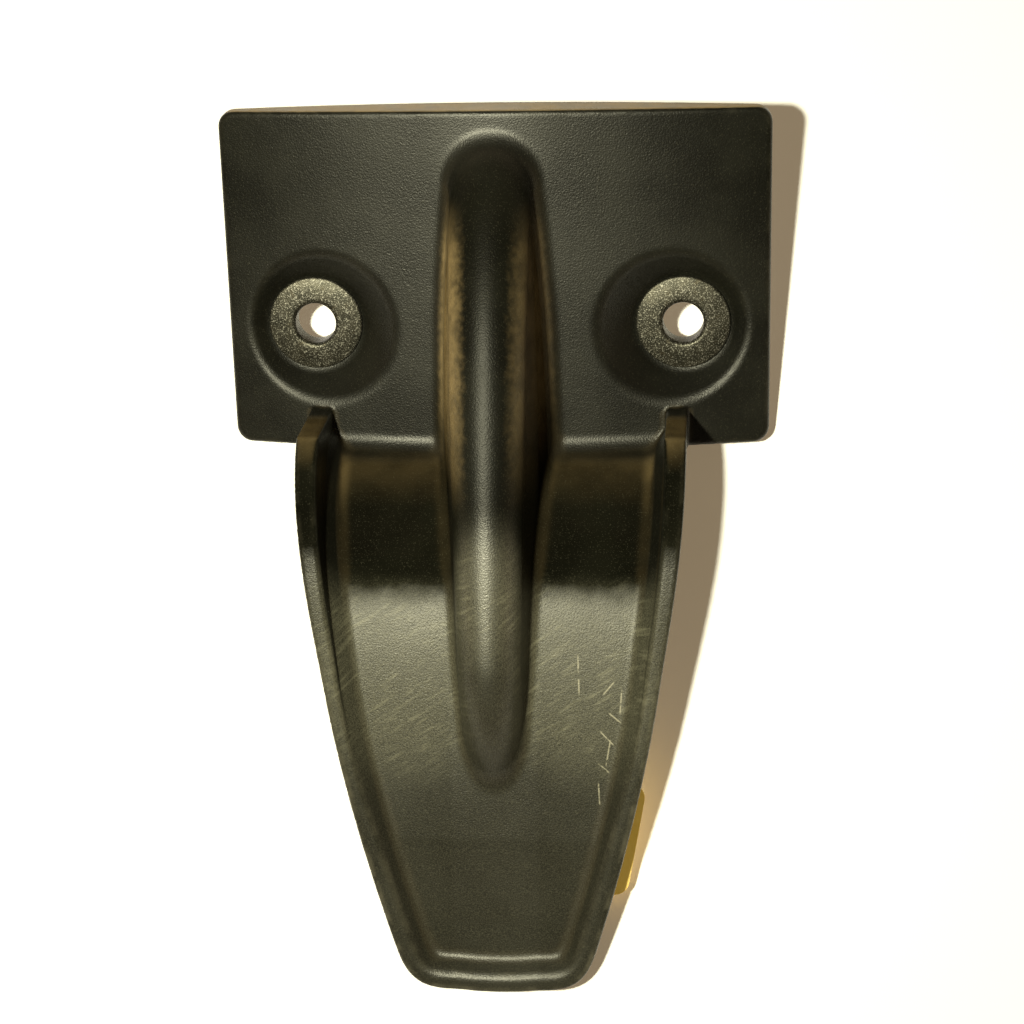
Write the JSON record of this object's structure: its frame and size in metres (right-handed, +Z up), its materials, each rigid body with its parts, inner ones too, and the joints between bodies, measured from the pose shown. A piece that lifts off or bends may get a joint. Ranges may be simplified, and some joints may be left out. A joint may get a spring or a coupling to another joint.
{
  "type": "cleat horn",
  "caption": "Wall-mounted rope horn: crowned plate with recessed bolt seats, a round buttress rib and a hooked, rimmed tongue.",
  "frame": {"origin": "centre of the plate's back face, on the wall plane", "axes": "+Y into the wall, +Z up, +X to the right as seen by a person facing the horn"},
  "size_m": [0.088, 0.039, 0.1399],
  "materials": {
    "black_plastic": "spark-eroded satin black, dusty in the hollows",
    "gasket_rubber": "matte, soiled",
    "seat_metal": "bead-blasted, dull grey",
    "label_paper": "film-faced yellow label, blank"
  },
  "bodies": {
    "root": {"horn_moulding": "black_plastic", "base_gasket": "gasket_rubber", "left_seat_bush": "seat_metal", "right_seat_bush": "seat_metal", "stock_label": "label_paper"}
  },
  "joints": []
}
